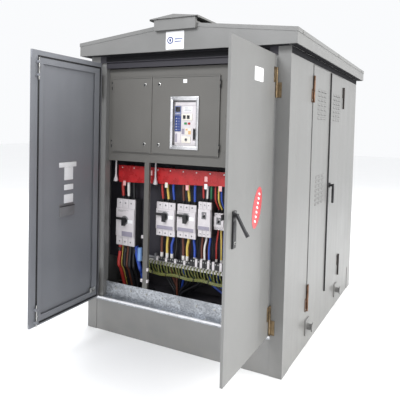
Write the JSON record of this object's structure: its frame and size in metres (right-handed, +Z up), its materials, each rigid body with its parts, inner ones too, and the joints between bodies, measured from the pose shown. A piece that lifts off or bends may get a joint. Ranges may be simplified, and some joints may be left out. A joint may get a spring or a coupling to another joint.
{
  "type": "packaged transformer substation",
  "caption": "Pad-mounted transformer kiosk: grey sheet-steel enclosure with gable roof, open front doors, low-voltage switchboard, louvred side doors and swing handle",
  "frame": {"origin": "on the ground under the centre of the enclosure's plan", "axes": "+Z up, -Y out of the low-voltage front, +X out of the side with the transformer doors"},
  "size_m": [1.8066, 3.1929, 2.4777],
  "materials": {
    "enclosure_paint": "semi-gloss grey polyester powder coat",
    "inner_paint": "satin grey powder coat",
    "galvanised": "hot-dip galvanised, faint spangle",
    "hinge_brass": "dull yellow-passivated",
    "black_plastic": "fine-textured black",
    "breaker_plastic": "moulded off-white",
    "red_plastic": "glossy red insulation",
    "green_plastic": "moulded green",
    "off_red_plastic": "moulded red",
    "floor_steel": "dark painted floor sheet",
    "copper": "bare copper",
    "tank_paint": "grey tank paint",
    "switchgear_paint": "light grey powder coat"
  },
  "bodies": {
    "enclosure": {"base_frame": "enclosure_paint", "floor_plate": "floor_steel", "front_left_post": "enclosure_paint", "front_right_post": "enclosure_paint", "rear_left_post": "enclosure_paint", "rear_right_post": "enclosure_paint", "front_header": "enclosure_paint", "rear_header": "enclosure_paint", "front_sill": "galvanised", "right_side_wall": "enclosure_paint", "left_front_panel": "enclosure_paint", "left_louvre_panel": "enclosure_paint", "left_rear_panel": "enclosure_paint", "lv_partition": "floor_steel", "mv_partition": "galvanised", "roof_fascia": "enclosure_paint", "roof_cover": "enclosure_paint", "ridge_vent_base": "enclosure_paint", "ridge_vent_cap": "enclosure_paint", "front_left_lower_hinge": "hinge_brass", "front_left_upper_hinge": "hinge_brass", "front_right_lower_hinge": "hinge_brass", "front_right_upper_hinge": "hinge_brass", "inner_frame": "inner_paint", "main_breaker": "breaker_plastic", "outgoing_breaker_1": "breaker_plastic", "outgoing_breaker_2": "breaker_plastic", "outgoing_breaker_3": "breaker_plastic", "outgoing_breaker_4": "breaker_plastic", "outgoing_breaker_5": "breaker_plastic", "breaker_plate": "floor_steel", "busbar_cover": "red_plastic", "earth_bar": "galvanised", "transformer_tank": "tank_paint", "core_and_windings": "copper", "transformer_cover": "tank_paint", "mv_switchgear": "switchgear_paint"},
    "front_left_door": {"front_left_leaf": "enclosure_paint"},
    "upper_bolt": {"upper_slide_bolt": "galvanised"},
    "lower_bolt": {"lower_slide_bolt": "galvanised"},
    "front_right_door": {"front_right_leaf": "enclosure_paint", "handle_plate": "black_plastic"},
    "spindle": {"latch_spindle": "black_plastic"},
    "lever": {"swing_lever": "black_plastic"},
    "side_front_door": {"side_front_leaf": "enclosure_paint"},
    "side_rear_door": {"side_rear_leaf": "enclosure_paint"},
    "side_handle": {"side_handle": "black_plastic"},
    "rear_right_door": {"rear_right_leaf": "enclosure_paint"},
    "rear_left_door": {"rear_left_leaf": "enclosure_paint"},
    "rear_handle": {"rear_handle": "black_plastic"},
    "meter_door": {"meter_compartment_door": "inner_paint"},
    "breaker_door": {"main_breaker_door": "inner_paint"},
    "charging_handle": {"charging_handle": "black_plastic"},
    "on_button": {"on_button": "green_plastic"},
    "off_button": {"off_button": "off_red_plastic"},
    "breaker_handle_1": {"breaker_handle_1": "black_plastic"},
    "breaker_handle_2": {"breaker_handle_2": "black_plastic"},
    "breaker_handle_3": {"breaker_handle_3": "black_plastic"},
    "breaker_handle_4": {"breaker_handle_4": "black_plastic"},
    "breaker_handle_5": {"breaker_handle_5": "black_plastic"}
  },
  "joints": [
    {"name": "front_left_door_hinge", "type": "hinge", "parent": "enclosure", "child": "front_left_door", "pos_m": [-0.746, -1.16, 0.4], "axis": [0, 0, -1], "range_deg": [-88, 27]},
    {"name": "upper_bolt_slide", "type": "slide", "parent": "front_left_door", "child": "upper_bolt", "axis": [0, 0, 1], "range_m": [0, 0.022]},
    {"name": "lower_bolt_slide", "type": "slide", "parent": "front_left_door", "child": "lower_bolt", "axis": [0, 0, -1], "range_m": [0, 0.022]},
    {"name": "front_right_door_hinge", "type": "hinge", "parent": "enclosure", "child": "front_right_door", "pos_m": [0.746, -1.16, 0.4], "axis": [0, 0, 1], "range_deg": [-91, 24]},
    {"name": "spindle_turn", "type": "hinge", "parent": "front_right_door", "child": "spindle", "pos_m": [0.75739, -1.8124, 1.2], "axis": [0.9998, 0.0175, 0], "range_deg": [0, 90]},
    {"name": "lever_swing", "type": "hinge", "parent": "spindle", "child": "lever", "pos_m": [0.77299, -1.81213, 1.2], "axis": [0.0175, -0.9998, 0], "range_deg": [-30, 60]},
    {"name": "side_front_door_hinge", "type": "hinge", "parent": "enclosure", "child": "side_front_door", "pos_m": [0.85, -0.596, 0.4], "axis": [0, 0, -1], "range_deg": [0, 110]},
    {"name": "side_rear_door_hinge", "type": "hinge", "parent": "enclosure", "child": "side_rear_door", "pos_m": [0.85, 0.486, 0.4], "axis": [0, 0, 1], "range_deg": [0, 110]},
    {"name": "side_handle_turn", "type": "hinge", "parent": "side_rear_door", "child": "side_handle", "pos_m": [0.85, 0.0165, 1.2], "axis": [1, 0, 0], "range_deg": [0, 90]},
    {"name": "rear_right_door_hinge", "type": "hinge", "parent": "enclosure", "child": "rear_right_door", "pos_m": [0.746, 1.16, 0.4], "axis": [0, 0, -1], "range_deg": [0, 110]},
    {"name": "rear_left_door_hinge", "type": "hinge", "parent": "enclosure", "child": "rear_left_door", "pos_m": [-0.746, 1.16, 0.4], "axis": [0, 0, 1], "range_deg": [0, 110]},
    {"name": "rear_handle_turn", "type": "hinge", "parent": "rear_left_door", "child": "rear_handle", "pos_m": [-0.0715, 1.16, 1.2], "axis": [0, 1, 0], "range_deg": [0, 90]},
    {"name": "meter_door_hinge", "type": "hinge", "parent": "enclosure", "child": "meter_door", "pos_m": [-0.664, -1.1043, 1.6], "axis": [0, 0, -1], "range_deg": [0, 88]},
    {"name": "breaker_door_hinge", "type": "hinge", "parent": "enclosure", "child": "breaker_door", "pos_m": [0.307, -1.1043, 1.6], "axis": [0, 0, 1], "range_deg": [0, 100]},
    {"name": "charging_handle_swing", "type": "hinge", "parent": "enclosure", "child": "charging_handle", "pos_m": [0.094, -1.081, 1.592], "axis": [1, 0, 0], "range_deg": [0, 60], "stiffness_Nm_per_rad": 0.4},
    {"name": "on_button_press", "type": "slide", "parent": "enclosure", "child": "on_button", "axis": [0, 1, 0], "range_m": [0, 0.003], "stiffness_N_per_m": 400},
    {"name": "off_button_press", "type": "slide", "parent": "enclosure", "child": "off_button", "axis": [0, 1, 0], "range_m": [0, 0.003], "stiffness_N_per_m": 400},
    {"name": "breaker_1_switch", "type": "hinge", "parent": "enclosure", "child": "breaker_handle_1", "pos_m": [-0.593, -1.01, 0.88995], "axis": [0, 1, 0], "range_deg": [0, 90]},
    {"name": "breaker_2_switch", "type": "hinge", "parent": "enclosure", "child": "breaker_handle_2", "pos_m": [-0.201, -1.01, 0.9674], "axis": [0, 1, 0], "range_deg": [0, 90]},
    {"name": "breaker_3_switch", "type": "hinge", "parent": "enclosure", "child": "breaker_handle_3", "pos_m": [-0.0105, -1.01, 0.97568], "axis": [0, 1, 0], "range_deg": [0, 90]},
    {"name": "breaker_4_toggle", "type": "hinge", "parent": "enclosure", "child": "breaker_handle_4", "pos_m": [0.147, -0.985, 1.00816], "axis": [-1, 0, 0], "range_deg": [0, 40]},
    {"name": "breaker_5_toggle", "type": "hinge", "parent": "enclosure", "child": "breaker_handle_5", "pos_m": [0.249, -0.939, 0.9704], "axis": [-1, 0, 0], "range_deg": [0, 40]}
  ]
}
